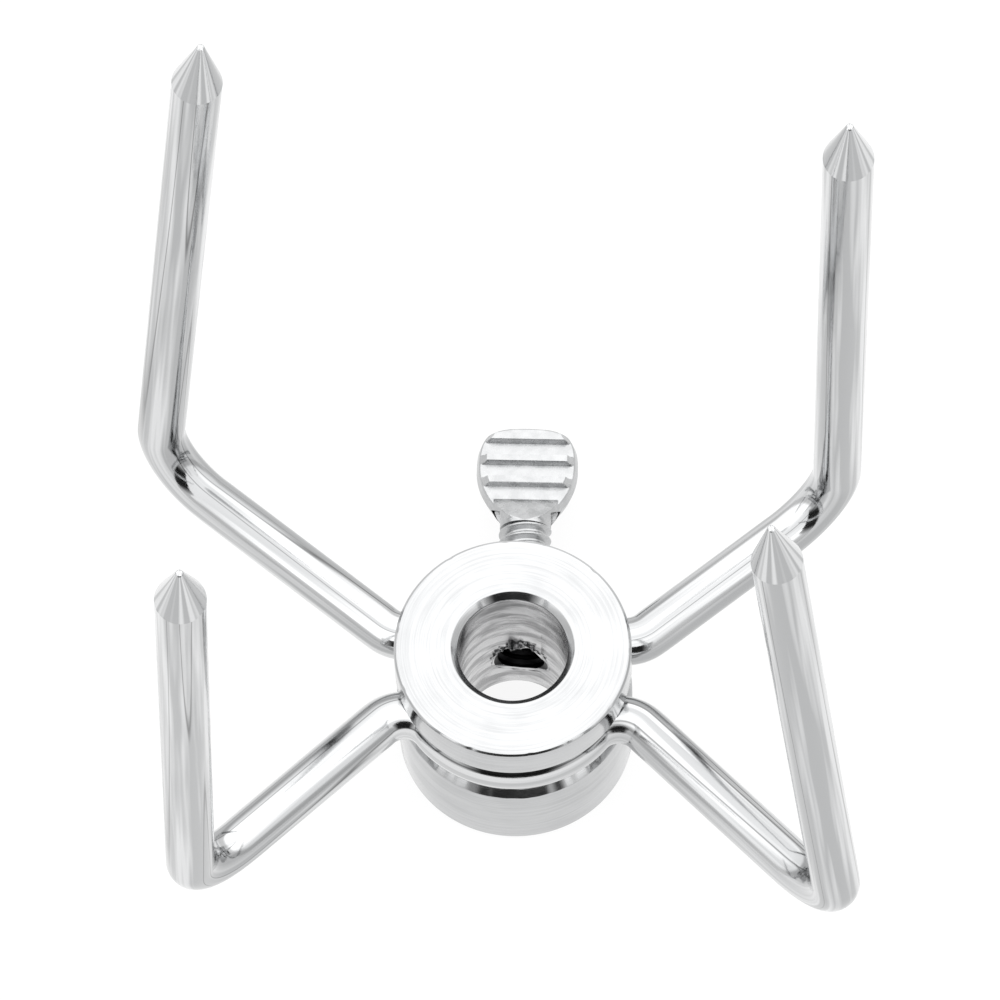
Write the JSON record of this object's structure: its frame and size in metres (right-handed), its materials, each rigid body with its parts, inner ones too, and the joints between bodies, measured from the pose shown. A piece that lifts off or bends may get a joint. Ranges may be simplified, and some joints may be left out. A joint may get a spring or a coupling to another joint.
{
  "type": "rotisserie spit fork",
  "caption": "Four-pronged spit fork: bent pointed rods wrapped round a bored steel hub, clamped to a spit rod by a thumb screw.",
  "frame": {"origin": "centre of the spit bore at the hub's base", "axes": "+Z along the spit bore, towards the points; +Y along the thumb screw, away from the hub; +X to the right"},
  "size_m": [0.0868, 0.0737, 0.1186],
  "materials": {
    "hub": "turned steel, bright plated",
    "rods": "drawn rod, bright plated",
    "screw": "pressed and plated, slightly satin"
  },
  "bodies": {
    "fork": {"hub": "hub", "front_prong_rod": "rods", "rear_prong_rod": "rods"},
    "screw_feed": {"thumb_screw_shank": "screw"},
    "thumb_screw": {"thumb_screw_grip": "screw"}
  },
  "joints": [
    {"name": "thumb_screw_feed", "type": "slide", "parent": "fork", "child": "screw_feed", "axis": [0, 1, 0], "range_m": [-0.00888, 0.0038]},
    {"name": "thumb_screw_turn", "type": "hinge", "parent": "screw_feed", "child": "thumb_screw", "pos_m": [0.00045, 0.02335, 0.0067], "axis": [0, 1, 0], "range_deg": [-2520, 1080]}
  ],
  "couplings": [
    {"joint": "thumb_screw_turn", "follows": "thumb_screw_feed", "rad_per_m": 4947.4}
  ]
}
